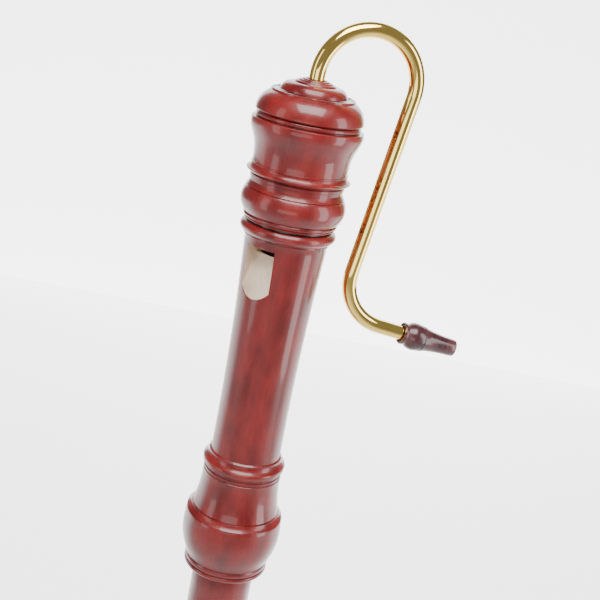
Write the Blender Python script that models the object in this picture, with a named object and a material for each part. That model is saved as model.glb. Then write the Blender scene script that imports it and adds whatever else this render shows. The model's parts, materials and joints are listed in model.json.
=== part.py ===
# Bass recorder with a bent crook: cap, head, middle and foot joints of turned maple,
# a brass crook with a rosewood mouthpiece, four sprung keys, thumb rest and strap ring.
# Lengths below are in millimetres; every mesh is written in metres.
# +Z runs up the bore, the origin is on the bore's axis at the foot's end face,
# and the window and finger holes look along -Y.
import math
import bpy
import bmesh
from mathutils import Matrix, Vector

for o in list(bpy.data.objects):
    bpy.data.objects.remove(o, do_unlink=True)

MM = 0.001
SEG = 32                 # sides of the large turned pieces

# ---- driving dimensions -------------------------------------------------
CAP_LINE = 932.0         # parting line of cap and head
HEAD_LEN = 293.4         # from the parting line to the head's lower end
HEAD_END = CAP_LINE - HEAD_LEN
FOOT_TOP = 195.0
HEAD_BORE_R = 13.6
FOOT_BORE_R = 9.4
WINDOW_HALF = 10.1
WINDOW_TOP = CAP_LINE - 75.8
EDGE_Z = CAP_LINE - 81.4
EDGE_A = 14.0            # distance of the labium's edge from the axis
RAMP_DEG = 19.5
SOCKET_R, SOCKET_DEPTH = 18.9, 42.0
MID_TOP_R, MID_END_R = 19.8, 18.6
FOOT_SOCKET_R, FOOT_SOCKET_DEPTH = 16.6, 38.0
CROOK_AZ = math.radians(140.7)   # bearing of the crook, from -Y towards +X
TUBE_R, TUBE_BORE_R = 4.5, 3.9
BEND_R = 29.6            # both bends of the crook
CROOK_RISE = 24.2        # where the first bend begins, above the parting line
CROOK_LEAN = 0.135       # the straight run's lean towards the body, radians
CROOK_RUN = 109.0
CROOK_DIP = 0.184        # the mouth end's dip below level
CROOK_TAIL = 30.0        # straight end, the last part of it inside the mouthpiece
GAP = 0.3


def material(name, rgb, rough, metal=0.0):
    m = bpy.data.materials.new(name)
    m.use_nodes = True
    b = m.node_tree.nodes["Principled BSDF"]
    b.inputs["Base Color"].default_value = (*rgb, 1)
    b.inputs["Roughness"].default_value = rough
    b.inputs["Metallic"].default_value = metal
    return m


MAPLE = dict(rgb=(0.26, 0.015, 0.012), rough=0.18)
CEDAR = dict(rgb=(0.42, 0.2, 0.1), rough=0.7)
CORK = dict(rgb=(0.5, 0.33, 0.18), rough=0.9)
BRASS = dict(rgb=(0.85, 0.6, 0.2), rough=0.1, metal=1.0)
ROSEWOOD = dict(rgb=(0.06, 0.015, 0.02), rough=0.3)
LEATHER = dict(rgb=(0.75, 0.68, 0.55), rough=0.8)
STEEL = dict(rgb=(0.4, 0.42, 0.45), rough=0.25, metal=1.0)


def put(name, verts, faces, look, origin=(0, 0, 0), helper=False):
    me = bpy.data.meshes.new(name)
    ox, oy, oz = origin
    me.from_pydata([((x - ox) * MM, (y - oy) * MM, (z - oz) * MM) for x, y, z in verts], [], faces)
    bm = bmesh.new()
    bm.from_mesh(me)
    bmesh.ops.recalc_face_normals(bm, faces=bm.faces)
    bm.to_mesh(me)
    bm.free()
    o = bpy.data.objects.new(name, me)
    o.location = (ox * MM, oy * MM, oz * MM)
    bpy.context.scene.collection.objects.link(o)
    me.materials.append(material(name, **look))
    me.shade_smooth()
    me.set_sharp_from_angle(angle=math.radians(35))
    if helper:
        o.hide_render = True
        o.display_type = "WIRE"
    return o


def lathe_mesh(outer, inner=None, seg=SEG, m=None):
    """Closed ring of revolution about Z: outer and inner are (z, r) runs, top to bottom."""
    loop = list(outer) + (list(reversed(inner)) if inner else [])
    verts, faces, rows = [], [], []
    for z, r in loop:
        if r < 1e-9:
            rows.append([len(verts)])
            verts.append(Vector((0, 0, z)))
        else:
            rows.append(list(range(len(verts), len(verts) + seg)))
            verts += [Vector((r * math.cos(2 * math.pi * k / seg), r * math.sin(2 * math.pi * k / seg), z)) for k in range(seg)]
    pairs = [(i, i + 1) for i in range(len(rows) - 1)]
    if inner:
        pairs.append((len(rows) - 1, 0))
    for i, j in pairs:
        a, b = rows[i], rows[j]
        for k in range(seg):
            n = (k + 1) % seg
            if len(a) == 1 and len(b) == 1:
                continue
            if len(a) == 1:
                faces.append((a[0], b[k], b[n]))
            elif len(b) == 1:
                faces.append((a[k], b[0], a[n]))
            else:
                faces.append((a[k], b[k], b[n], a[n]))
    if not inner:
        for row, flip in ((rows[0], False), (rows[-1], True)):
            if len(row) > 1:
                faces.append(tuple(reversed(row)) if flip else tuple(row))
    if m:
        verts = [m @ v for v in verts]
    return [tuple(v) for v in verts], faces


def lathe(name, outer, inner, look, seg=SEG, m=None, origin=(0, 0, 0), helper=False):
    return put(name, *lathe_mesh(outer, inner, seg, m), look, origin, helper)


def prism_mesh(poly, lo, hi, m=None):
    """Polygon in XY extruded along Z from lo to hi."""
    n = len(poly)
    verts = [Vector((x, y, lo)) for x, y in poly] + [Vector((x, y, hi)) for x, y in poly]
    faces = [tuple(range(n)), tuple(range(n, 2 * n))] + [(i, (i + 1) % n, n + (i + 1) % n, n + i) for i in range(n)]
    if m:
        verts = [m @ v for v in verts]
    return [tuple(v) for v in verts], faces


def boolean(obj, other, how="DIFFERENCE"):
    b = obj.modifiers.new(how.lower(), "BOOLEAN")
    b.operation = how
    b.object = other
    b.solver = "EXACT"
    return b


def curve(z0, r0, z1, r1, bulge, n):
    """Points from (z0, r0) to (z1, r1), bowed out by bulge times half the chord."""
    dz, dr = z1 - z0, r1 - r0
    L = math.hypot(dz, dr)
    out = []
    for i in range(n + 1):
        t = i / n
        h = bulge * L / 2 * (1 - (2 * t - 1) ** 2)
        out.append((z0 + dz * t + dr / L * h, r0 + dr * t - dz / L * h))
    return out


def frame_at(az, rho, z, twist=0.0):
    """Matrix whose Z points outward along bearing az (from -Y towards +X) at distance rho."""
    out = Vector((math.sin(az), -math.cos(az), 0))
    side = Vector((math.cos(az), math.sin(az), 0))
    up = out.cross(side)
    m = Matrix((side, up, out)).transposed().to_4x4()
    m.translation = out * rho + Vector((0, 0, z))
    return m @ Matrix.Rotation(twist, 4, "Z")


def head_tube_r(z):
    u = (z - CAP_LINE) / 33.0 + 4.7
    return 33.0 * (0.66 + 0.0138 * u + 0.009 * u * u)


def up(points):
    return [(CAP_LINE + z, r) for z, r in points]


# ---- cap ----------------------------------------------------------------
cap_outer = up([(21.6, 6.6)] + curve(21.3, 7.2, 20.8, 8.4, 0.3, 1) + [(20.5, 8.7), (20.0, 10.2), (19.6, 10.5), (19.0, 12.1)]
               + curve(18.7, 12.4, 13.7, 19.6, 0.42, 4) + [(13.2, 20.2), (13.2, 23.4), (13.6, 23.9), (12.8, 24.5)]
               + curve(12.2, 24.6, 2.2, 31.3, 0.24, 5) + [(1.0, 31.4), (0.15, 30.4)])
cap_inner = up([(21.6, 5.9), (14.5, 5.9), (13.2, 15.0), (10.4, 15.0), (10.4, 25.1), (0.15, 25.1)])
lathe("cap", cap_outer, cap_inner, MAPLE)

# ---- head joint ---------------------------------------------------------
head_outer = up(
    [(9.6, 24.6), (8.4, 24.6), (8.4, 23.4), (1.4, 23.4), (1.4, 24.6), (-0.15, 24.6), (-0.15, 29.9), (-0.7, 30.5), (-2.4, 30.5), (-3.0, 30.0), (-3.4, 32.4)]
    + curve(-4.2, 32.6, -9.5, 32.0, 0.15, 2)
    + [(-13.5, 30.4), (-18.0, 28.8), (-23.1, 28.0), (-28.6, 27.8), (-29.4, 28.3)]
    + curve(-29.8, 28.1, -33.0, 30.4, -0.3, 2)
    + [(-33.6, 30.1), (-35.2, 27.6), (-39.5, 27.3), (-42.9, 28.9), (-43.3, 28.6)]
    + curve(-43.7, 29.0, -57.9, 28.0, 0.34, 6)
    + [(-58.3, 27.5), (-60.4, 27.5), (-60.8, 26.9), (-61.9, 26.7), (-62.1, 25.2), (-62.9, 25.2)]
    + curve(-63.2, 26.6, -69.7, 26.4, 0.62, 4)
    + [(-70.2, 25.8), (-71.2, 25.3)]
)
head_outer += [(z, head_tube_r(z)) for z in [CAP_LINE - d for d in (80, 105, 135, 165, 190, 210)]]
head_outer += up(
    [(-211.7, 22.9), (-213.2, 22.9)]
    + curve(-213.6, 22.8, -217.3, 25.7, -0.25, 2)
    + [(-218.0, 25.9), (-221.0, 25.3), (-222.2, 24.2), (-223.2, 24.6), (-225.0, 24.4), (-232.0, 24.7), (-240.9, 25.5), (-250.3, 27.3)]
    + [(-251.2, 28.0), (-254.2, 30.5), (-260.0, 31.0), (-266.0, 31.35), (-272.0, 30.9), (-276.5, 30.0), (-281.0, 28.5), (-285.0, 27.0), (-285.8, 26.2)]
    + [(-286.6, 26.6), (-289.4, 26.5), (-289.9, 26.0), (-290.5, 26.7), (-292.6, 26.5), (-293.4, 25.6)]
)
head_inner = [(CAP_LINE + 9.6, HEAD_BORE_R), (HEAD_END + SOCKET_DEPTH, HEAD_BORE_R), (HEAD_END + SOCKET_DEPTH, SOCKET_R), (HEAD_END, SOCKET_R)]
head = lathe("head_joint", head_outer, head_inner, MAPLE)
reach = 45.0
drop = (reach - EDGE_A) / math.tan(math.radians(RAMP_DEG))
# side view of the window, its ramp and the way into the bore: (distance out, height)
side_view = [(5.0, WINDOW_TOP), (reach, WINDOW_TOP), (reach, EDGE_Z - drop), (EDGE_A, EDGE_Z), (5.0, EDGE_Z)]
to_front = Matrix(((0, 0, 1, 0), (-1, 0, 0, 0), (0, 1, 0, 0), (0, 0, 0, 1)))
window_cut = put("window_cut", *prism_mesh(side_view, -WINDOW_HALF, WINDOW_HALF, to_front), MAPLE, helper=True)
boolean(head, window_cut)
windway = [(5.0, WINDOW_TOP - 0.4), (14.1, WINDOW_TOP - 0.4), (14.6, CAP_LINE + 12), (5.0, CAP_LINE + 12)]
windway_cut = put("windway_cut", *prism_mesh(windway, -WINDOW_HALF, WINDOW_HALF, to_front), MAPLE, helper=True)
boolean(head, windway_cut)

# ---- block --------------------------------------------------------------
br, bw, floor = HEAD_BORE_R - 0.25, WINDOW_HALF - 0.25, 12.7
a0 = math.asin(bw / br)
poly = [(-bw, -floor), (bw, -floor)] + [(br * math.sin(a0 + (2 * math.pi - 2 * a0) * i / 24), -br * math.cos(a0 + (2 * math.pi - 2 * a0) * i / 24)) for i in range(25)]
put("block", *prism_mesh(poly, WINDOW_TOP + 0.3, CAP_LINE + 6.0), CEDAR)
lathe("cap_tenon_cork", up([(8.1, 24.85), (1.7, 24.85)]), up([(8.1, 23.7), (1.7, 23.7)]), CORK)

# ---- middle joint -------------------------------------------------------
mt, mb = HEAD_END - GAP, FOOT_TOP + GAP
mid_outer = [(mt + 41.5, 18.6), (mt + 38.0, 18.6), (mt + 38.0, 17.6), (mt + 6.0, 17.6), (mt + 6.0, 18.6), (mt, 18.6), (mt, MID_TOP_R - 0.4), (mt - 0.5, MID_TOP_R),
             *[(mt - 0.5 - (mt - mb - 1) * k / 9, MID_TOP_R - (MID_TOP_R - MID_END_R) * k / 9) for k in range(1, 9)], (mb + 0.5, MID_END_R), (mb, MID_END_R - 0.4), (mb, 16.3),
             (mb - 5.0, 16.3), (mb - 5.0, 15.2), (mb - 34.0, 15.2), (mb - 34.0, 16.3), (mb - 37.5, 16.3)]
mid_inner = [(mt + 41.5, HEAD_BORE_R), (mt, HEAD_BORE_R - 0.1)] + [(mt - (mt - mb + 37.5) * k / 8, HEAD_BORE_R - 0.1 - 2.7 * k / 8) for k in range(1, 9)]
middle = lathe("middle_joint", mid_outer, mid_inner, MAPLE)
lathe("upper_tenon_cork", [(mt + 37.7, 18.75), (mt + 6.3, 18.75)], [(mt + 37.7, 17.85), (mt + 6.3, 17.85)], CORK)
lathe("lower_tenon_cork", [(mb - 5.3, 16.45), (mb - 33.7, 16.45)], [(mb - 5.3, 15.45), (mb - 33.7, 15.45)], CORK)

# ---- foot joint ---------------------------------------------------------
foot_outer = ([(FOOT_TOP, 24.0), (FOOT_TOP - 0.8, 24.8), (FOOT_TOP - 3.0, 24.8), (FOOT_TOP - 3.6, 24.2), (FOOT_TOP - 4.2, 24.7), (FOOT_TOP - 6.6, 24.7), (FOOT_TOP - 7.4, 24.0)]
              + curve(FOOT_TOP - 8.0, 24.8, FOOT_TOP - 36.0, 27.4, 0.2, 6)
              + [(FOOT_TOP - 36.6, 28.0), (FOOT_TOP - 38.4, 27.2), (FOOT_TOP - 41.0, 25.2)]
              + curve(FOOT_TOP - 41.6, 24.6, FOOT_TOP - 62.0, 20.0, -0.16, 4)
              + [(120.0, 19.4), (60.0, 18.6), (46.0, 18.8), (45.5, 19.6)]
              + curve(45.0, 20.0, 39.0, 20.2, 0.5, 3)
              + [(38.4, 19.6), (38.0, 19.2)]
              + curve(37.4, 19.2, 14.0, 23.4, -0.1, 4)
              + [(13.5, 24.2)] + curve(13.0, 24.6, 3.0, 24.4, 0.35, 4) + [(1.0, 23.6), (0.0, 22.8)])
foot_inner = [(FOOT_TOP, FOOT_SOCKET_R), (FOOT_TOP - FOOT_SOCKET_DEPTH, FOOT_SOCKET_R), (FOOT_TOP - FOOT_SOCKET_DEPTH, 10.8), (2.0, FOOT_BORE_R), (0.0, FOOT_BORE_R + 1.4)]
foot = lathe("foot_joint", foot_outer, foot_inner, MAPLE)


def mid_r(z):
    t = (mt - z) / (mt - mb)
    return MID_TOP_R + (MID_END_R - MID_TOP_R) * t


def foot_r(z):
    return 18.6 + 0.8 * (z - 60.0) / 60.0


# ---- open finger holes and the thumb hole ------------------------------
for i, (z, r, az) in enumerate([(580.0, 3.6, math.pi), (545.0, 4.0, 0.0), (495.0, 4.1, 0.0), (335.0, 4.2, 0.0), (287.0, 4.3, 0.0)]):
    m = frame_at(az, 0, z)
    boolean(middle, lathe(f"hole_cut_{i}", [(26.0, r), (6.0, r)], None, MAPLE, 16, m, helper=True))


# ---- keys ---------------------------------------------------------------
def key(name, body, body_r, z_hole, z_touch, z_low, z_high, side, hole_r, pad_r, touch_az, opening):
    """One sprung key: a hinge tube on a steel axle between two posts, its cup over the hole."""
    R = body_r(z_hole)
    seat = R - 1.5
    ax_az = side * math.radians(66)
    rho = max(body_r(z_low), body_r(z_high)) + 4.3
    A = Vector((math.sin(ax_az) * rho, -math.cos(ax_az) * rho, 0))
    boolean(body, lathe(f"{name}_hole_cut", [(seat + 8, pad_r + 1.6), (seat, pad_r + 1.6)], None, MAPLE, 24, frame_at(0, 0, z_hole, 0.11), helper=True))
    boolean(body, lathe(f"{name}_tone_cut", [(seat + 1, hole_r), (4.0, hole_r)], None, MAPLE, 16, frame_at(0, 0, z_hole, 0.11), helper=True))
    for tag, z in (("lower", z_low), ("upper", z_high)):
        m = frame_at(ax_az, 0, z)
        boolean(body, lathe(f"{name}_{tag}_stub_cut", [(rho + 3, 1.75), (R - 5.2, 1.75)], None, MAPLE, 10, m, helper=True))
        rb = body_r(z)
        prof = [(rho + 2.7, 0.9), (rho + 1.7, 2.2), (rho, 2.75), (rho - 1.7, 2.2), (rho - 2.3, 1.5), (rb + 1.1, 1.5), (rb + 0.9, 2.3), (rb + 0.35, 2.3), (rb + 0.3, 1.5), (R - 4.9, 1.5)]
        post = lathe(f"{name}_post_{tag}", prof, None, BRASS, 10, m, origin=tuple(A + Vector((0, 0, z))))
        boolean(post, lathe(f"{name}_{tag}_axle_cut", [(z + 6, 1.5), (z - 6, 1.5)], None, BRASS, 10, Matrix.Translation(A), helper=True))
    lathe(f"{name}_axle", [(z_high + 3.2, 0.9), (z_high + 2.9, 1.25), (z_low - 2.9, 1.25), (z_low - 3.2, 0.9)], None, STEEL, 10, Matrix.Translation(A), origin=tuple(A + Vector((0, 0, z_low))))
    # the lever is shaped closed and then swung open about its axle
    swing = Matrix.Translation(A) @ Matrix.Rotation(side * math.radians(opening), 4, "Z") @ Matrix.Translation(-A)
    org = tuple(A + Vector((0, 0, z_hole)))
    lever = lathe(f"{name}_lever", [(z_high - 3.1, 2.3), (z_low + 3.1, 2.3)], [(z_high - 3.1, 1.5), (z_low + 3.1, 1.5)], BRASS, 14, swing @ Matrix.Translation(A), origin=org)
    pad_face = seat + 0.2
    cup = [(pad_face + 3.6, 2.0), (pad_face + 3.2, pad_r * 0.7), (pad_face + 2.6, pad_r + 0.9), (pad_face + 0.9, pad_r + 0.9), (pad_face + 0.9, pad_r + 0.3), (pad_face + 2.1, pad_r + 0.3), (pad_face + 2.1, 0.0)]
    cup = [(cup[0][0], 0.0)] + cup
    boolean(lever, lathe(f"{name}_cup_add", cup, None, BRASS, 20, swing @ frame_at(0, 0, z_hole), helper=True), "UNION")

    def arm(tag, z, az_end, level, knee, width, thick):
        """A flat bar: level over the bore's front, then down to the hinge tube."""
        f = frame_at(az_end, 0, 0)
        end, bend = (f @ Vector((x, 0, level)) for x in (0.0, side * knee))
        d1, d2 = (bend - end).normalized(), (A - bend).normalized()
        n1, n2 = Vector((-d1.y, d1.x, 0)), Vector((-d2.y, d2.x, 0))
        mitre = (n1 + n2).normalized()
        mitre = mitre / mitre.dot(n1)
        root = A - d2 * 1.9
        h = thick / 2
        poly = [end + n1 * h, bend + mitre * h, root + n2 * h, root - n2 * h, bend - mitre * h, end - n1 * h]
        v, fc = prism_mesh([(q.x, q.y) for q in poly], z - width / 2, z + width / 2, swing)
        boolean(lever, put(f"{name}_{tag}_add", v, fc, BRASS, helper=True), "UNION")
    arm("cup_arm", z_hole, 0.0, pad_face + 3.3, pad_r + 2.4, 3.4, 1.3)
    level = body_r(z_touch) + 4.4
    arm("touch_arm", z_touch, touch_az, level, 8.2, 3.2, 1.5)
    # the touch is a domed oval plate
    tz, tw, n = 9.0, 5.4, 18
    tf = frame_at(touch_az, level, z_touch)
    rows = []
    for h, k in ((1.5, 0.0), (1.35, 0.55), (0.6, 1.0), (-0.4, 1.0), (-0.9, 0.7), (-0.95, 0.0)):
        rows.append([Vector((tw * k * math.cos(2 * math.pi * i / n), tz * k * math.sin(2 * math.pi * i / n), h)) for i in range(n)] if k else [Vector((0, 0, h))])
    v, f, idx = [], [], []
    for row in rows:
        idx.append(list(range(len(v), len(v) + len(row))))
        v += [tuple(swing @ tf @ q) for q in row]
    for a, b in zip(idx, idx[1:]):
        for i in range(n):
            j = (i + 1) % n
            if len(a) == 1:
                f.append((a[0], b[i], b[j]))
            elif len(b) == 1:
                f.append((a[i], b[0], a[j]))
            else:
                f.append((a[i], b[i], b[j], a[j]))
    boolean(lever, put(f"{name}_touch_add", v, f, BRASS, helper=True), "UNION")
    pad = [(pad_face + 1.85, 0.0), (pad_face + 1.85, pad_r - 0.1), (pad_face + 1.7, pad_r), (pad_face + 0.3, pad_r), (pad_face, pad_r - 0.4), (pad_face, 0.0)]
    lathe(f"{name}_pad", pad, None, LEATHER, 20, swing @ frame_at(0, 0, z_hole), origin=org)
    # needle spring beside the hinge tube, held at the lower post
    B = A + Vector((math.sin(ax_az), -math.cos(ax_az), 0)) * -3.3
    lathe(f"{name}_spring", [(z_low + 2.9 + (z_high - z_low) * 0.55, 0.3), (z_low + 2.9, 0.3)], None, STEEL, 8, Matrix.Translation(B), origin=org)


key("third_key", middle, mid_r, 435.0, 458.0, 424.0, 470.0, 1, 4.6, 7.2, math.radians(12), 8.0)
key("sixth_key", middle, mid_r, 226.0, 250.0, 215.0, 262.0, 1, 4.8, 7.6, math.radians(12), 8.0)
key("low_f_key", foot, foot_r, 84.0, 112.0, 72.0, 125.0, 1, 4.8, 7.6, math.radians(18), 8.0)
key("low_f_sharp_key", foot, foot_r, 61.5, 112.0, 52.5, 125.0, -1, 3.6, 5.8, math.radians(-18), 8.0)

# ---- thumb rest ---------------------------------------------------------
back = math.pi
tr_z = 300.0
flat = mid_r(tr_z) - 0.6
m = frame_at(back, 0, tr_z)
boolean(middle, put("thumb_rest_flat_cut", *prism_mesh([(-6.6, -24.6), (6.6, -24.6), (6.6, 24.6), (-6.6, 24.6)], flat, flat + 8, m), MAPLE, helper=True))
rail = put("thumb_rest_rail", *prism_mesh([(-6.0, -24.0), (6.0, -24.0), (6.0, 24.0), (-6.0, 24.0)], flat + 0.3, flat + 2.3, m), BRASS)
for s, tag in ((1, "upper"), (-1, "lower")):
    c = frame_at(back, 0, tr_z + s * 20.5)
    boolean(rail, lathe(f"rail_{tag}_cut", [(flat + 4, 1.9), (flat - 1, 1.9)], None, BRASS, 12, c, helper=True))
    boolean(middle, lathe(f"rail_{tag}_wood_cut", [(flat + 4, 1.3), (flat - 3.6, 1.3)], None, BRASS, 12, c, helper=True))
    lathe(f"rail_screw_{tag}", [(flat + 3.9, 0.8), (flat + 3.7, 2.2), (flat + 2.6, 3.0), (flat + 2.6, 1.1), (flat - 3.0, 1.1), (flat - 3.4, 0.4)], None, BRASS, 12, c)
rest_body = put("thumb_rest", *prism_mesh([(-8.6, -9.0), (8.6, -9.0), (8.6, 9.0), (-8.6, 9.0)], flat + 2.6, flat + 6.2, m), BRASS, origin=tuple(m @ Vector((0, 0, flat))))
boolean(rest_body, lathe("rest_knob_cut", [(flat + 8, 1.8), (flat + 1, 1.8)], None, BRASS, 12, m, helper=True))
hook = [(0.0, flat + 5.0), (3.2, flat + 5.0), (3.4, flat + 12.0), (1.2, flat + 21.0), (-1.6, flat + 21.0), (0.2, flat + 12.0)]
hm = frame_at(back, 0, tr_z) @ Matrix(((0, 0, 1, 0), (1, 0, 0, -8.6), (0, 1, 0, 0), (0, 0, 0, 1)))
boolean(rest_body, put("rest_hook_add", *prism_mesh(hook, -8.0, 8.0, hm), BRASS, helper=True), "UNION")
lathe("thumb_rest_knob", [(flat + 12.5, 2.6), (flat + 12.0, 3.4), (flat + 7.4, 3.4), (flat + 6.5, 2.6), (flat + 6.5, 1.5), (flat + 2.6, 1.5)], None, BRASS, 16, m, origin=tuple(m @ Vector((0, 0, flat))))

# ---- strap ring ---------------------------------------------------------
sr_z = 520.0
flat2 = mid_r(sr_z) - 0.5
m = frame_at(back, 0, sr_z)
boolean(middle, put("strap_flat_cut", *prism_mesh([(-5.6, -13.6), (5.6, -13.6), (5.6, 13.6), (-5.6, 13.6)], flat2, flat2 + 8, m), MAPLE, helper=True))
plate = put("strap_plate", *prism_mesh([(-5.0, -13.0), (5.0, -13.0), (5.0, 13.0), (-5.0, 13.0)], flat2 + 0.3, flat2 + 2.0, m), BRASS)
lug = [(-2.6, flat2 + 1.5), (2.6, flat2 + 1.5), (2.6, flat2 + 7.2), (1.4, flat2 + 8.6), (-1.4, flat2 + 8.6), (-2.6, flat2 + 7.2)]
lm = frame_at(back, 0, sr_z) @ Matrix(((0, 0, 1, 0), (1, 0, 0, 0), (0, 1, 0, 0), (0, 0, 0, 1)))
boolean(plate, put("strap_lug_add", *prism_mesh(lug, -1.6, 1.6, lm), BRASS, helper=True), "UNION")
lug_c = flat2 + 5.6
boolean(plate, put("strap_eye_cut", *lathe_mesh([(4.0, 1.6), (-4.0, 1.6)], None, 14, m @ Matrix.Translation((0, 0, lug_c)) @ Matrix.Rotation(math.pi / 2, 4, "Y")), BRASS, helper=True))
for s, tag in ((1, "upper"), (-1, "lower")):
    c = frame_at(back, 0, sr_z + s * 9.0)
    boolean(plate, lathe(f"strap_{tag}_cut", [(flat2 + 4, 1.7), (flat2 - 1, 1.7)], None, BRASS, 12, c, helper=True))
    boolean(middle, lathe(f"strap_{tag}_wood_cut", [(flat2 + 4, 1.2), (flat2 - 3.4, 1.2)], None, BRASS, 12, c, helper=True))
    lathe(f"strap_screw_{tag}", [(flat2 + 3.5, 0.8), (flat2 + 3.3, 1.9), (flat2 + 2.3, 2.6), (flat2 + 2.3, 1.0), (flat2 - 2.8, 1.0), (flat2 - 3.2, 0.4)], None, BRASS, 12, c)
# the ring hangs down from the lug's eye
ring_r, wire = 8.5, 1.1
rv, rf, nu, nv = [], [], 28, 8
cz = sr_z - ring_r
for i in range(nu):
    a = 2 * math.pi * i / nu
    for j in range(nv):
        b = 2 * math.pi * j / nv
        q = ring_r + wire * math.cos(b)
        rv.append((q * math.sin(a), lug_c + wire * math.sin(b), cz + q * math.cos(a)))
for i in range(nu):
    for j in range(nv):
        rf.append((i * nv + j, ((i + 1) % nu) * nv + j, ((i + 1) % nu) * nv + (j + 1) % nv, i * nv + (j + 1) % nv))
put("strap_ring", rv, rf, BRASS, origin=(0, lug_c, sr_z))

# ---- crook --------------------------------------------------------------
def crook_path(start):
    """Centre line in the crook's own plane: (distance from the bore's axis, height, heading)."""
    pos, head_ = Vector((0.0, start)), math.pi / 2
    pts = [(pos.copy(), head_)]
    for kind, size, turn, n in (("L", CAP_LINE + CROOK_RISE - start, 0, 2), ("A", BEND_R, -(math.pi + CROOK_LEAN), 16), ("L", CROOK_RUN, 0, 3),
                                ("A", BEND_R, math.pi / 2 + CROOK_LEAN - CROOK_DIP, 9), ("L", CROOK_TAIL, 0, 2)):
        if kind == "L":
            for k in range(1, n + 1):
                pts.append((pos + Vector((math.cos(head_), math.sin(head_))) * size * k / n, head_))
            pos = pts[-1][0].copy()
        else:
            s = 1 if turn > 0 else -1
            c = pos + Vector((-math.sin(head_), math.cos(head_))) * size * s
            for k in range(1, n + 1):
                h = head_ + turn * k / n
                pts.append((c - Vector((-math.sin(h), math.cos(h))) * size * s, h))
            head_ += turn
            pos = pts[-1][0].copy()
    return pts


u3 = Vector((math.sin(CROOK_AZ), -math.cos(CROOK_AZ), 0))
w3 = Vector((math.cos(CROOK_AZ), math.sin(CROOK_AZ), 0))
path = crook_path(CAP_LINE + 11.0)
NS = 14
rings = []
for p2, h in path:
    c = u3 * p2.x + Vector((0, 0, p2.y))
    nrm = u3 * -math.sin(h) + Vector((0, 0, math.cos(h)))
    rings.append([(c + (nrm * math.cos(2 * math.pi * k / NS) + w3 * math.sin(2 * math.pi * k / NS)) * r) for r in (TUBE_R, TUBE_BORE_R) for k in range(NS)])
cv = [tuple(v) for r in rings for v in r]
cf = []
for i in range(len(rings) - 1):
    for off in (0, NS):
        for k in range(NS):
            n = (k + 1) % NS
            cf.append((i * 2 * NS + off + k, i * 2 * NS + off + n, (i + 1) * 2 * NS + off + n, (i + 1) * 2 * NS + off + k))
for i in (0, len(rings) - 1):
    for k in range(NS):
        n = (k + 1) % NS
        cf.append((i * 2 * NS + k, i * 2 * NS + n, i * 2 * NS + NS + n, i * 2 * NS + NS + k))
put("crook", cv, cf, BRASS, origin=(0, 0, CAP_LINE + 21.6))
lathe("crook_cork", up([(20.6, 5.65), (11.4, 5.65)]), up([(20.6, 4.8), (11.4, 4.8)]), CORK, 20)

# ---- mouthpiece: turned about the crook's last straight run --------------
end, hd = path[-1]
end3 = u3 * end.x + Vector((0, 0, end.y))
along = u3 * math.cos(hd) + Vector((0, 0, math.sin(hd)))
side3 = w3
mp = Matrix((side3, along.cross(side3), along)).transposed().to_4x4()
mp.translation = end3 - along * 13.4        # where the tube enters the mouthpiece
mouth_outer = [(36.0, 4.4), (37.6, 5.2), (37.6, 5.2), (36.8, 5.5)]
mouth_outer = [(37.6, 4.6), (37.0, 5.4), (30.0, 5.7), (22.0, 6.4), (15.6, 7.6), (14.4, 8.3), (13.4, 7.9), (11.5, 8.3), (8.5, 8.8), (5.2, 8.2), (3.2, 6.8), (2.4, 6.5), (1.6, 7.0), (0.0, 7.0)]
mouth_inner = [(37.6, 2.4), (14.2, 3.2), (14.2, 5.8), (0.0, 5.8)]
lathe("mouthpiece", mouth_outer, mouth_inner, ROSEWOOD, 24, mp, origin=tuple(mp.translation))
lathe("mouthpiece_cork", [(13.0, 5.5), (1.0, 5.5)], [(13.0, 4.8), (1.0, 4.8)], CORK, 20, mp, origin=tuple(mp.translation))
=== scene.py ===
import json
import math
import bpy
import bmesh
from mathutils import Matrix, Vector


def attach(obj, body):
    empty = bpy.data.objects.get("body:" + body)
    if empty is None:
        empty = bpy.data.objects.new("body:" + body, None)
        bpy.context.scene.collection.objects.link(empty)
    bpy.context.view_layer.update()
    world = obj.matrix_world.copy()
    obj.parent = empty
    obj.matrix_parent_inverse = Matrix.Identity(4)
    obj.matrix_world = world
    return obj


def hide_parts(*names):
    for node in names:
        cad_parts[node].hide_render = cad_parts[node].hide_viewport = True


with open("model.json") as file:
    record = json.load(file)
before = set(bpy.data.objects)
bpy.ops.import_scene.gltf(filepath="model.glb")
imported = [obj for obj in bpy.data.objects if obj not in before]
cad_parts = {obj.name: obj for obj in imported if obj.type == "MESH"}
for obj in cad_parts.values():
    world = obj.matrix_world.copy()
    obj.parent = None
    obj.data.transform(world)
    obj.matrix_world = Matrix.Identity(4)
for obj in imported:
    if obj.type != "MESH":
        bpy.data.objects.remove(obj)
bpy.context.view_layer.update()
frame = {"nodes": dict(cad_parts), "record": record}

MM = 0.001
CAP_LINE = 932.0
HEAD_END = CAP_LINE - 293.4
WINDOW_HALF = 10.1
WINDOW_TOP = CAP_LINE - 75.8
EDGE_Z = CAP_LINE - 81.4
EDGE_A = 14.0


# ---- materials ----------------------------------------------------------
def nodes_of(name, rough, metal=0.0, coat=0.0, coat_rough=0.045):
    m = bpy.data.materials.new(name)
    m.use_nodes = True
    t = m.node_tree
    b = t.nodes["Principled BSDF"]
    b.inputs["Roughness"].default_value = rough
    b.inputs["Metallic"].default_value = metal
    b.inputs["Coat Weight"].default_value = coat
    b.inputs["Coat Roughness"].default_value = coat_rough
    return m, t, b


def add(t, kind, **inputs):
    n = t.nodes.new(kind)
    for k, v in inputs.items():
        n.inputs[k.replace("_", " ")].default_value = v
    return n


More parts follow.
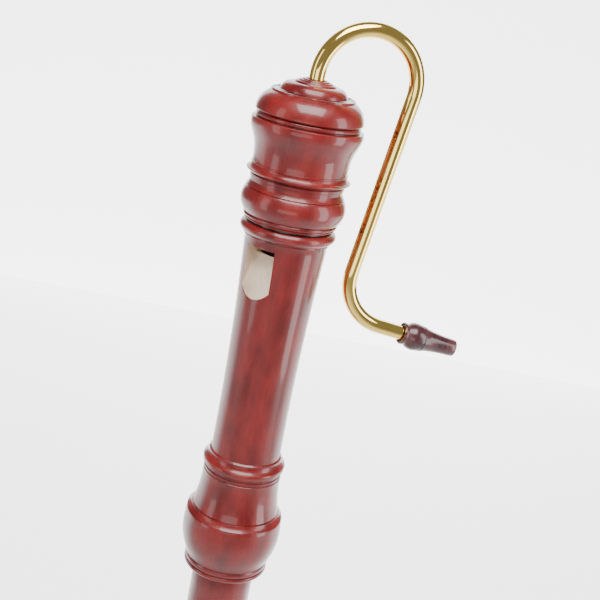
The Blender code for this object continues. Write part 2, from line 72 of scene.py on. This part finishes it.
def coords(t, scale):
    c = t.nodes.new("ShaderNodeTexCoord")
    m = t.nodes.new("ShaderNodeMapping")
    m.inputs["Scale"].default_value = scale
    t.links.new(c.outputs["Object"], m.inputs["Vector"])
    return m.outputs["Vector"]


def ramp(t, fac, stops):
    r = t.nodes.new("ShaderNodeValToRGB")
    while len(r.color_ramp.elements) < len(stops):
        r.color_ramp.elements.new(0.5)
    for e, (p, c) in zip(r.color_ramp.elements, stops):
        e.position = p
        e.color = (*c, 1)
    t.links.new(fac, r.inputs["Fac"])
    return r.outputs["Color"]


def mix(t, a, b, fac, how="MIX"):
    n = t.nodes.new("ShaderNodeMix")
    n.data_type = "RGBA"
    n.blend_type = how
    if isinstance(fac, float):
        n.inputs[0].default_value = fac
    else:
        t.links.new(fac, n.inputs[0])
    for s, v in ((6, a), (7, b)):
        if isinstance(v, tuple):
            n.inputs[s].default_value = (*v, 1)
        else:
            t.links.new(v, n.inputs[s])
    return n.outputs[2]


def wood(name, stops, rough, coat, stretch, scale, groove_shade=True, streak=0.5):
    m, t, b = nodes_of(name, rough, 0.0, coat)
    figure = add(t, "ShaderNodeTexNoise", Scale=scale, Detail=5.0, Roughness=0.5)
    t.links.new(coords(t, (1.0, 1.0, 0.45)), figure.inputs["Vector"])
    grain = add(t, "ShaderNodeTexNoise", Scale=900.0, Detail=4.0, Roughness=0.65)
    t.links.new(coords(t, stretch), grain.inputs["Vector"])
    col = ramp(t, figure.outputs["Fac"], stops)
    lines = ramp(t, grain.outputs["Fac"], [(0.35, (0.45, 0.42, 0.42)), (0.6, (1, 1, 1))])
    col = mix(t, col, lines, streak, "MULTIPLY")
    # painted shade: a near-black colour is mixed in where the grooves lie deep, darkening them
    if groove_shade:
        at = t.nodes.new("ShaderNodeAttribute")
        at.attribute_name = "groove_shade"
        col = mix(t, col, (0.008, 0.001, 0.001), at.outputs["Fac"])
    t.links.new(col, b.inputs["Base Color"])
    bump = add(t, "ShaderNodeBump", Strength=0.05, Distance=0.0002)
    t.links.new(grain.outputs["Fac"], bump.inputs["Height"])
    t.links.new(bump.outputs["Normal"], b.inputs["Normal"])
    r = ramp(t, figure.outputs["Fac"], [(0.3, (rough * 0.8,) * 3), (0.7, (rough * 1.3,) * 3)])
    t.links.new(r, b.inputs["Roughness"])
    return m


def metal(name, light, dark, rough):
    m, t, b = nodes_of(name, rough, 1.0)
    n = add(t, "ShaderNodeTexNoise", Scale=60.0, Detail=4.0, Roughness=0.6)
    t.links.new(coords(t, (1, 1, 1)), n.inputs["Vector"])
    t.links.new(ramp(t, n.outputs["Fac"], [(0.3, dark), (0.65, light)]), b.inputs["Base Color"])
    t.links.new(ramp(t, n.outputs["Fac"], [(0.3, (rough * 1.6,) * 3), (0.7, (rough * 0.8,) * 3)]), b.inputs["Roughness"])
    s = add(t, "ShaderNodeTexNoise", Scale=2500.0, Detail=2.0)
    bump = add(t, "ShaderNodeBump", Strength=0.03, Distance=0.0001)
    t.links.new(coords(t, (1, 1, 0.1)), s.inputs["Vector"])
    t.links.new(s.outputs["Fac"], bump.inputs["Height"])
    t.links.new(bump.outputs["Normal"], b.inputs["Normal"])
    return m


MAPLE = wood("maple_red", [(0.3, (0.11, 0.002, 0.002)), (0.45, (0.16, 0.003, 0.002)), (0.6, (0.21, 0.004, 0.003)), (0.8, (0.27, 0.007, 0.004))],
             0.36, 0.45, (1.0, 1.0, 0.03), 85.0, True, 0.35)
CREAM = wood("maple_bare", [(0.3, (0.62, 0.42, 0.27)), (0.6, (0.82, 0.66, 0.5))], 0.5, 0.0, (1, 1, 0.03), 40.0, False, 0.25)
CEDAR = wood("cedar", [(0.3, (0.3, 0.13, 0.06)), (0.6, (0.48, 0.25, 0.13))], 0.7, 0.0, (1, 1, 0.03), 60.0, False)
ROSE = wood("rosewood", [(0.3, (0.03, 0.008, 0.01)), (0.5, (0.075, 0.018, 0.022)), (0.7, (0.16, 0.05, 0.05))], 0.28, 0.25, (1, 1, 1), 90.0, False, 0.6)
CORK = wood("cork", [(0.35, (0.3, 0.17, 0.08)), (0.6, (0.52, 0.34, 0.19))], 0.9, 0.0, (1, 1, 1), 500.0, False)
LEATHER = wood("pad_leather", [(0.35, (0.6, 0.5, 0.36)), (0.6, (0.75, 0.66, 0.52))], 0.8, 0.0, (1, 1, 1), 300.0, False, 0.2)
BRASS = metal("brass_polished", (1.0, 0.74, 0.2), (0.96, 0.66, 0.16), 0.06)
STEEL = metal("steel_ground", (0.5, 0.52, 0.55), (0.38, 0.4, 0.43), 0.25)
LOOKS = {"red_maple": MAPLE, "cedar": CEDAR, "cork": CORK, "crook_brass": BRASS, "key_brass": BRASS, "rosewood": ROSE, "pad_leather": LEATHER, "steel": STEEL}
for sp in frame["record"]["subparts"]:
    ob = frame["nodes"][sp["node"]]
    ob.data.materials.clear()
    ob.data.materials.append(LOOKS[sp["material_slot"]])


# ---- shapes -------------------------------------------------------------
def curve(z0, r0, z1, r1, bulge, n):
    dz, dr = z1 - z0, r1 - r0
    L = math.hypot(dz, dr)
    out = []
    for i in range(n + 1):
        t = i / n
        h = bulge * L / 2 * (1 - (2 * t - 1) ** 2)
        out.append((z0 + dz * t + dr / L * h, r0 + dr * t - dz / L * h))
    return out


def painted_groove_shade(run):
    """How deep each point lies below its neighbours within 1.6 mm, as 0 to 1, used as painted shade that darkens the
    grooves.
    """
    out = []
    for z, r in run:
        lo = max([q for y, q in run if z < y <= z + 1.6] or [r])
        hi = max([q for y, q in run if z - 1.6 <= y < z] or [r])
        out.append(max(0.0, min(1.0, (min(lo, hi) - r - 0.15) / 0.8)))
    return out


def object_from(name, verts, faces, looks, groove_shade=None, angle=32):
    me = bpy.data.meshes.new(name)
    me.from_pydata([tuple(q * MM for q in v) for v in verts], [], faces)
    bm = bmesh.new()
    bm.from_mesh(me)
    bmesh.ops.recalc_face_normals(bm, faces=bm.faces)
    bm.to_mesh(me)
    bm.free()
    # store the painted groove shade per vertex for the shader
    if groove_shade is not None:
        a = me.attributes.new("groove_shade", "FLOAT", "POINT")
        a.data.foreach_set("value", groove_shade)
    o = bpy.data.objects.new(name, me)
    bpy.context.scene.collection.objects.link(o)
    for m in looks:
        me.materials.append(m)
    me.shade_smooth()
    me.set_sharp_from_angle(angle=math.radians(angle))
    return o


def lathe(name, outer, inner, looks, seg=144, m=None, angle=32):
    loop = list(outer) + list(reversed(inner))
    # painted shade in the grooves of the outer profile; the bore gets none
    dark = painted_groove_shade(outer) + [0.0] * len(inner)
    verts = [Vector((r * math.cos(2 * math.pi * k / seg), r * math.sin(2 * math.pi * k / seg), z)) for z, r in loop for k in range(seg)]
    faces = [(i * seg + k, (i + 1) % len(loop) * seg + k, (i + 1) % len(loop) * seg + (k + 1) % seg, i * seg + (k + 1) % seg) for i in range(len(loop)) for k in range(seg)]
    if m:
        verts = [m @ v for v in verts]
    return object_from(name, verts, faces, looks, [d for d in dark for k in range(seg)], angle)


def prism(name, poly, lo, hi, m):
    n = len(poly)
    verts = [m @ Vector((x, y, lo)) for x, y in poly] + [m @ Vector((x, y, hi)) for x, y in poly]
    faces = [tuple(range(n)), tuple(range(n, 2 * n))] + [(i, (i + 1) % n, n + (i + 1) % n, n + i) for i in range(n)]
    return object_from(name, verts, faces, [])


def cut(o, cutter):
    b = o.modifiers.new("cut", "BOOLEAN")
    b.operation = "DIFFERENCE"
    b.object = cutter
    b.solver = "EXACT"
    dg = bpy.context.evaluated_depsgraph_get()
    me = bpy.data.meshes.new_from_object(o.evaluated_get(dg))
    o.modifiers.clear()
    o.data = me
    bpy.data.objects.remove(cutter, do_unlink=True)


def up(points):
    return [(CAP_LINE + z, r) for z, r in points]


def head_tube_r(d):
    u = -d / 33.0 + 4.7
    return 33.0 * (0.66 + 0.0138 * u + 0.009 * u * u)


# cap
c = [(21.6, 6.1)] + curve(21.4, 6.6, 20.9, 8.0, .5, 4) + curve(20.7, 8.2, 20.2, 10.0, .5, 4) + curve(19.9, 10.2, 19.2, 12.0, .5, 4)
c += curve(18.9, 12.2, 13.7, 19.6, .42, 12) + curve(13.4, 20.0, 13.3, 23.2, -.1, 4) + [(13.7, 23.6), (13.5, 24.2), (12.9, 24.4)]
c += curve(12.4, 24.4, 2.2, 31.35, .24, 14) + [(1.2, 31.4), (0.6, 31.0), (0.3, 30.6), (0.15, 29.8)]
cap_in = [(21.6, 5.9), (14.5, 5.9), (13.2, 15.0), (10.4, 15.0), (10.4, 25.1), (0.15, 25.1)]
cap = lathe("v_cap", up(c), up(cap_in), [MAPLE])
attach(cap, "cap")
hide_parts("cap")

# head joint
h = [(9.6, 24.6), (8.4, 24.6), (8.4, 23.4), (1.4, 23.4), (1.4, 24.6), (-0.15, 24.6), (-0.15, 29.7)]
h += curve(-.6, 30.2, -2.5, 30.3, .25, 5) + [(-2.8, 29.9), (-3.1, 29.9), (-3.3, 32.0), (-3.7, 32.45)] + curve(-4.2, 32.55, -9.5, 32.0, .12, 6)
h += [(-11.5, 31.25), (-13.5, 30.4), (-16.5, 29.2), (-19.8, 28.4), (-23.1, 28.0), (-26.4, 27.8), (-28.6, 27.8), (-28.8, 28.3), (-29.4, 28.3)]
h += curve(-29.7, 28.1, -32.7, 30.4, -.3, 6) + [(-33.1, 30.5), (-33.5, 30.3)] + curve(-33.7, 30.0, -35.0, 27.8, .1, 3)
h += [(-35.3, 27.5), (-35.9, 27.9), (-37.4, 27.8), (-37.8, 27.4), (-39.4, 27.3)] + curve(-39.8, 27.3, -42.9, 28.9, -.1, 5) + [(-43.3, 28.5)]
h += curve(-43.6, 29.0, -57.9, 28.0, .34, 18) + [(-58.3, 27.5)] + curve(-58.7, 27.8, -60.3, 27.6, .3, 4) + [(-60.7, 26.9)] + curve(-61.1, 27.1, -61.9, 26.7, .4, 3)
h += [(-62.1, 25.2), (-62.9, 25.2)] + curve(-63.2, 26.6, -69.7, 26.4, .62, 12) + [(-70.0, 25.8), (-70.9, 25.8), (-71.2, 25.3)]
h += [(-d, head_tube_r(d)) for d in range(73, 211, 3)]
h += [(-211.5, 21.9), (-212.3, 22.9), (-213.2, 22.9)] + curve(-213.5, 22.7, -217.3, 25.7, -.25, 6)
h += [(-217.8, 25.9), (-219.4, 25.75), (-220.8, 25.5), (-221.3, 25.0), (-222.0, 24.2), (-223.0, 24.2), (-223.3, 24.7), (-224.6, 24.7), (-225.0, 24.3), (-225.5, 24.3), (-225.8, 24.7)]
h += [(-228, 24.6), (-231, 24.6), (-234.3, 24.9), (-237.6, 25.15), (-240.9, 25.5), (-244.2, 26.0), (-247.5, 26.6), (-250.2, 27.3)]
h += [(-250.6, 27.0), (-251.0, 28.0), (-252.6, 28.6), (-253.8, 30.1), (-254.2, 30.5), (-254.6, 30.2), (-255.0, 30.5)]
h += [(-255.3, 30.6), (-257.5, 30.8), (-260, 31.0), (-262, 31.2), (-264, 31.3), (-266, 31.35), (-268, 31.3), (-270, 31.15), (-272, 30.9), (-274, 30.55), (-276, 30.1), (-278, 29.5), (-280, 28.8), (-281.5, 28.2), (-283, 27.6), (-285, 27.0)]
h += [(-285.5, 26.2), (-286.2, 26.2)] + curve(-286.6, 26.5, -289.4, 26.5, .2, 5) + [(-289.8, 26.0), (-290.1, 26.0)] + curve(-290.4, 26.6, -293.0, 26.3, .3, 5)
h += [(-293.4, 25.6)]
outer = up(h)
inner = [(CAP_LINE + 9.6, 13.6)] + [(CAP_LINE + 9.6 - 10 * k, 13.6) for k in range(1, 26)] + [(HEAD_END + 42.0, 13.6), (HEAD_END + 42.0, 18.9), (HEAD_END, 18.9)]
head = lathe("v_head", outer, inner, [MAPLE, CREAM], 192)
to_front = Matrix(((0, 0, 1, 0), (-1, 0, 0, 0), (0, 1, 0, 0), (0, 0, 0, 1)))
drop = (45.0 - EDGE_A) / math.tan(math.radians(19.5))
cut(head, prism("w1", [(5.0, WINDOW_TOP), (45.0, WINDOW_TOP), (45.0, EDGE_Z - drop), (EDGE_A, EDGE_Z), (5.0, EDGE_Z)], -WINDOW_HALF, WINDOW_HALF, to_front))
cut(head, prism("w2", [(5.0, WINDOW_TOP - 0.4), (14.1, WINDOW_TOP - 0.4), (14.6, CAP_LINE + 12), (5.0, CAP_LINE + 12)], -WINDOW_HALF, WINDOW_HALF, to_front))
tube = sorted(outer)


def outer_r(z):
    for (a, ra), (b, rb) in zip(tube, tube[1:]):
        if a <= z <= b:
            return ra + (rb - ra) * (z - a) / max(b - a, 1e-6)
    return 0.0


for p in head.data.polygons:
    x, y, z = (q / MM for q in p.center)
    d = math.hypot(x, y)
    if abs(x) < WINDOW_HALF + 0.1 and y < -9 and CAP_LINE - 112 < z < CAP_LINE + 9 and outer_r(z) - d > 0.12 and (d > 13.75 or z < WINDOW_TOP + 1):
        p.material_index = 1
head.data.set_sharp_from_angle(angle=math.radians(32))
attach(head, "head")
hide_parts("head_joint")


# middle joint and foot joint
FOOT_TOP = 195.0
mt, mb = HEAD_END - 0.3, FOOT_TOP + 0.3
mid_out = [(mt + 41.5, 18.6), (mt + 38.0, 18.6), (mt + 38.0, 17.6), (mt + 6.0, 17.6), (mt + 6.0, 18.6), (mt, 18.6), (mt, 19.4), (mt - 0.15, 19.6), (mt - 0.5, 19.78)]
mid_out += [(mt - 0.5 - (mt - mb - 1) * k / 36, 19.78 - 1.2 * k / 36) for k in range(1, 36)]
mid_out += [(mb + 0.5, 18.58), (mb + 0.1, 18.4), (mb, 18.2), (mb, 16.3), (mb - 5.0, 16.3), (mb - 5.0, 15.2), (mb - 34.0, 15.2), (mb - 34.0, 16.3), (mb - 37.5, 16.3)]
mid_in = [(mt + 41.5, 13.6)] + [(mt - (mt - mb + 37.5) * k / 24, 13.5 - 2.7 * k / 24) for k in range(25)]
foot_out = [(FOOT_TOP, 24.0), (FOOT_TOP - 0.3, 24.5), (FOOT_TOP - 0.8, 24.75), (FOOT_TOP - 3.0, 24.75), (FOOT_TOP - 3.4, 24.5), (FOOT_TOP - 3.6, 24.2), (FOOT_TOP - 3.9, 24.2), (FOOT_TOP - 4.2, 24.65),
            (FOOT_TOP - 6.6, 24.65), (FOOT_TOP - 7.0, 24.4), (FOOT_TOP - 7.4, 23.9), (FOOT_TOP - 7.7, 23.9)]
foot_out += curve(FOOT_TOP - 8.0, 24.7, FOOT_TOP - 36.0, 27.3, 0.2, 20) + [(FOOT_TOP - 36.6, 27.8), (FOOT_TOP - 37.4, 27.7), (FOOT_TOP - 38.4, 27.1), (FOOT_TOP - 39.8, 26.0), (FOOT_TOP - 41.0, 25.1)]
foot_out += curve(FOOT_TOP - 41.6, 24.5, FOOT_TOP - 62.0, 19.95, -0.16, 10) + [(120.0, 19.35), (100.0, 19.05), (80.0, 18.8), (60.0, 18.55), (50.0, 18.65), (46.0, 18.75), (45.7, 18.9), (45.5, 19.5)]
foot_out += curve(45.0, 19.95, 39.0, 20.1, 0.45, 8) + [(38.4, 19.5), (38.2, 18.9), (37.9, 18.9)] + curve(37.4, 19.15, 14.0, 23.35, -0.12, 14)
foot_out += [(13.8, 23.4), (13.5, 24.1)] + curve(13.0, 24.5, 3.0, 24.3, 0.33, 12) + [(2.4, 24.1), (1.6, 23.8), (1.0, 23.4), (0.4, 23.0), (0.0, 22.7)]
foot_in = [(FOOT_TOP, 16.6), (FOOT_TOP - 38.0, 16.6), (FOOT_TOP - 38.0, 10.8), (120.0, 10.4), (60.0, 9.9), (2.0, 9.4), (1.0, 9.9), (0.0, 10.8)]
middle = lathe("v_middle", mid_out, mid_in, [MAPLE], 128)
foot = lathe("v_foot", foot_out, foot_in, [MAPLE], 160)


def frame_at(az, z):
    out = Vector((math.sin(az), -math.cos(az), 0))
    side = Vector((math.cos(az), math.sin(az), 0))
    m = Matrix((side, out.cross(side), out)).transposed().to_4x4()
    m.translation = Vector((0, 0, z))
    return m @ Matrix.Rotation(0.037, 4, "Z")


def rod(r, hi, lo, m, seg=48):
    return prism("rod", [(r * math.cos(2 * math.pi * k / seg), r * math.sin(2 * math.pi * k / seg)) for k in range(seg)], lo, hi, m)


def mid_r(z):
    return 19.8 - 1.2 * (mt - z) / (mt - mb)


def foot_r(z):
    return 18.6 + 0.8 * (z - 60.0) / 60.0


for z, r, a in ((580.0, 3.6, math.pi), (545.0, 4.0, 0.0), (495.0, 4.1, 0.0), (335.0, 4.2, 0.0), (287.0, 4.3, 0.0)):
    cut(middle, rod(r, 26.0, 6.0, frame_at(a, z)))
    # the rim of each hole is eased by the fingers
    seg = 48
    rim = [(r + 0.9, 20.3), (r - 0.05, 19.1)]
    v = [frame_at(a, z) @ Vector((q * math.cos(2 * math.pi * k / seg), q * math.sin(2 * math.pi * k / seg), mid_r(z) + y - 19.8)) for q, y in rim for k in range(seg)]
    f = [tuple(range(seg)), tuple(range(seg, 2 * seg))] + [(k, (k + 1) % seg, seg + (k + 1) % seg, seg + k) for k in range(seg)]
    cut(middle, object_from("rim", v, f, []))
for wood_piece, fr_, z_hole, z_low, z_high, side, hole, pad in ((middle, mid_r, 435.0, 424.0, 470.0, 1, 4.6, 7.2), (middle, mid_r, 226.0, 215.0, 262.0, 1, 4.8, 7.6),
                                                               (foot, foot_r, 84.0, 72.0, 125.0, 1, 4.8, 7.6), (foot, foot_r, 61.5, 52.5, 125.0, -1, 3.6, 5.8)):
    R = fr_(z_hole)
    rho = max(fr_(z_low), fr_(z_high)) + 4.3
    cut(wood_piece, rod(pad + 1.6, R + 6.5, R - 1.5, frame_at(0, z_hole), 64))
    cut(wood_piece, rod(hole, R - 0.5, 4.0, frame_at(0, z_hole)))
    for z in (z_low, z_high):
        cut(wood_piece, rod(1.72, rho + 3, R - 5.15, frame_at(side * math.radians(66), z), 24))
for z, half, length, depth in ((300.0, 6.6, 24.6, 0.6), (520.0, 5.6, 13.6, 0.5)):
    m = frame_at(math.pi, z) @ Matrix.Rotation(-0.037, 4, "Z")
    cut(middle, prism("flat", [(-half, -length), (half, -length), (half, length), (-half, length)], mid_r(z) - depth, mid_r(z) + 8, m))
for z, step, r, dip in ((300.0, 20.5, 1.3, 4.2), (520.0, 9.0, 1.2, 3.9)):
    for s in (1, -1):
        cut(middle, rod(r, mid_r(z) + 3, mid_r(z) - dip, frame_at(math.pi, z + s * step), 24))
for o, b, n in ((middle, "middle", "middle_joint"), (foot, "foot", "foot_joint")):
    o.data.set_sharp_from_angle(angle=math.radians(32))
    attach(o, b)
    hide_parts(n)


# crook
def crook_path(start):
    pos, a = Vector((0.0, start)), math.pi / 2
    pts = [(pos.copy(), a)]
    for kind, length, turn, n in (("L", CAP_LINE + 24.2 - start, 0, 4), ("A", 29.6, -(math.pi + 0.135), 64), ("L", 109.0, 0, 20),
                                  ("A", 29.6, math.pi / 2 + 0.135 - 0.184, 40), ("L", 30.0, 0, 8)):
        if kind == "L":
            for k in range(1, n + 1):
                pts.append((pos + Vector((math.cos(a), math.sin(a))) * length * k / n, a))
        else:
            s = 1 if turn > 0 else -1
            mid = pos + Vector((-math.sin(a), math.cos(a))) * length * s
            for k in range(1, n + 1):
                b = a + turn * k / n
                pts.append((mid - Vector((-math.sin(b), math.cos(b))) * length * s, b))
            a += turn
        pos = pts[-1][0].copy()
    return pts


AZ = math.radians(140.7)
u3 = Vector((math.sin(AZ), -math.cos(AZ), 0))
w3 = Vector((math.cos(AZ), math.sin(AZ), 0))
path = crook_path(CAP_LINE + 11.0)
NS = 40
cv, cf = [], []
for p2, a in path:
    c3 = u3 * p2.x + Vector((0, 0, p2.y))
    nrm = u3 * -math.sin(a) + Vector((0, 0, math.cos(a)))
    cv += [c3 + (nrm * math.cos(2 * math.pi * k / NS) + w3 * math.sin(2 * math.pi * k / NS)) * r for r in (4.48, 3.9) for k in range(NS)]
for i in range(len(path) - 1):
    for off in (0, NS):
        cf += [(i * 2 * NS + off + k, i * 2 * NS + off + (k + 1) % NS, (i + 1) * 2 * NS + off + (k + 1) % NS, (i + 1) * 2 * NS + off + k) for k in range(NS)]
for i in (0, len(path) - 1):
    cf += [(i * 2 * NS + k, i * 2 * NS + (k + 1) % NS, i * 2 * NS + NS + (k + 1) % NS, i * 2 * NS + NS + k) for k in range(NS)]
crook = object_from("v_crook", cv, cf, [BRASS])
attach(crook, "crook")
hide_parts("crook")

# mouthpiece
end, hd = path[-1]
end3 = u3 * end.x + Vector((0, 0, end.y))
along = u3 * math.cos(hd) + Vector((0, 0, math.sin(hd)))
mp = Matrix((w3, along.cross(w3), along)).transposed().to_4x4()
mp.translation = end3 - along * 13.4
mo = [(37.5, 4.6), (37.3, 5.1), (36.8, 5.4), (33.0, 5.55), (30.0, 5.7), (26.0, 6.0), (22.0, 6.4), (18.5, 6.95), (15.6, 7.6), (14.5, 8.1), (14.2, 8.15), (13.9, 7.9), (13.6, 8.0), (12.6, 8.25),
      (11.0, 8.5), (9.6, 8.7), (8.5, 8.75), (7.2, 8.65), (6.2, 8.4), (5.2, 8.0), (4.2, 7.4), (3.4, 6.85), (2.8, 6.6), (2.3, 6.6), (1.9, 6.75), (1.5, 6.95), (1.0, 7.0), (0.4, 6.95), (0.0, 6.7)]
mi = [(37.5, 2.4), (14.2, 3.2), (14.2, 5.8), (0.0, 5.8)]
mouth = lathe("v_mouthpiece", mo, mi, [ROSE], 96, mp)
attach(mouth, "mouthpiece")
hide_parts("mouthpiece")


# ---- floor, backdrop and light -----------------------------------------
def sheet_of(name, verts, rgb, glow):
    me = bpy.data.meshes.new(name)
    me.from_pydata(verts, [], [(0, 1, 2, 3)])
    o = bpy.data.objects.new(name, me)
    bpy.context.scene.collection.objects.link(o)
    m, t, b = nodes_of(name, 0.8)
    b.inputs["Base Color"].default_value = (*rgb, 1)
    b.inputs["Emission Color"].default_value = (1, 1, 1, 1)
    b.inputs["Emission Strength"].default_value = glow
    me.materials.append(m)
    return o


CAM_AZ = math.radians(35.73)
floor = sheet_of("floor", [(-4, -4, 0), (4, -4, 0), (4, 4, 0), (-4, 4, 0)], (0.8, 0.8, 0.8), 0.1)
# the floor glows with painted light, bright behind the instrument and fading towards the front
ft = floor.data.materials[0].node_tree
fc = ft.nodes.new("ShaderNodeTexCoord")
fd = ft.nodes.new("ShaderNodeVectorMath")
fd.operation = "DOT_PRODUCT"
fd.inputs[1].default_value = (-math.sin(CAM_AZ), math.cos(CAM_AZ), 0)
fr = ft.nodes.new("ShaderNodeMapRange")
for k, v in ((1, 0.05), (2, 0.7), (3, 0.1), (4, 2.6)):
    fr.inputs[k].default_value = v
ft.links.new(fc.outputs["Object"], fd.inputs[0])
ft.links.new(fd.outputs["Value"], fr.inputs[0])
ft.links.new(fr.outputs[0], ft.nodes["Principled BSDF"].inputs["Emission Strength"])


def around(deg, dist, z):
    a = CAM_AZ + math.radians(deg)
    return Vector((math.sin(a) * dist, -math.cos(a) * dist, z))


wall = [around(180 - 30, 2.6, 0.0), around(180 + 30, 2.6, 0.0), around(180 + 30, 2.6, 2.8), around(180 - 30, 2.6, 2.8)]
sheet_of("backdrop", [tuple(v) for v in wall], (0.9, 0.9, 0.9), 3.2)
world = bpy.data.worlds.new("room")
world.use_nodes = True
world.node_tree.nodes["Background"].inputs["Color"].default_value = (1, 1, 1, 1)
world.node_tree.nodes["Background"].inputs["Strength"].default_value = 0.26
bpy.context.scene.world = world


def softbox(name, place, target, w, hgt, power):
    L = bpy.data.lights.new(name, "AREA")
    L.shape = "RECTANGLE"
    L.size, L.size_y = w, hgt
    L.energy = power
    o = bpy.data.objects.new(name, L)
    o.location = place
    o.rotation_euler = (Vector(target) - place).to_track_quat("-Z", "Y").to_euler()
    bpy.context.scene.collection.objects.link(o)
    return o


softbox("strip_right", around(74, 1.3, 0.95), (0, 0, 0.9), 0.5, 1.5, 15)
softbox("strip_left", around(-62, 1.3, 0.95), (0, 0, 0.9), 0.4, 1.4, 5)
softbox("over", around(2, 0.55, 1.95), (0, 0, 0.93), 0.95, 0.85, 30)
softbox("front", around(-8, 1.6, 0.7), (0, 0, 0.85), 1.2, 0.5, 5)

# ---- camera -------------------------------------------------------------
ax, ay, az = 0.3142, -0.0247, 0.1965
B = Matrix(((1, 0, 0), (0, 0, -1), (0, 1, 0)))
Rx = Matrix(((1, 0, 0), (0, math.cos(ax), -math.sin(ax)), (0, math.sin(ax), math.cos(ax))))
Ry = Matrix(((math.cos(ay), 0, math.sin(ay)), (0, 1, 0), (-math.sin(ay), 0, math.cos(ay))))
Rz = Matrix(((math.cos(az), -math.sin(az), 0), (math.sin(az), math.cos(az), 0), (0, 0, 1)))
M = Rz @ Rx @ Ry @ B
turn = Matrix.Rotation(CAM_AZ, 3, "Z")
right, down, fwd = (turn @ M[i] for i in range(3))
place = turn @ Vector((0.0, -18.3974 * 0.033, 2.7054 * 0.033)) + Vector((0, 0, 0.932))
cam = bpy.data.cameras.new("photo_camera")
cam.sensor_width = 36.0
cam.lens = 63.94
cam.clip_start = 0.01
co = bpy.data.objects.new("photo_camera", cam)
mw = Matrix((right, -down, -fwd)).transposed().to_4x4()
mw.translation = place
co.matrix_world = mw
bpy.context.scene.collection.objects.link(co)
bpy.context.scene.camera = co
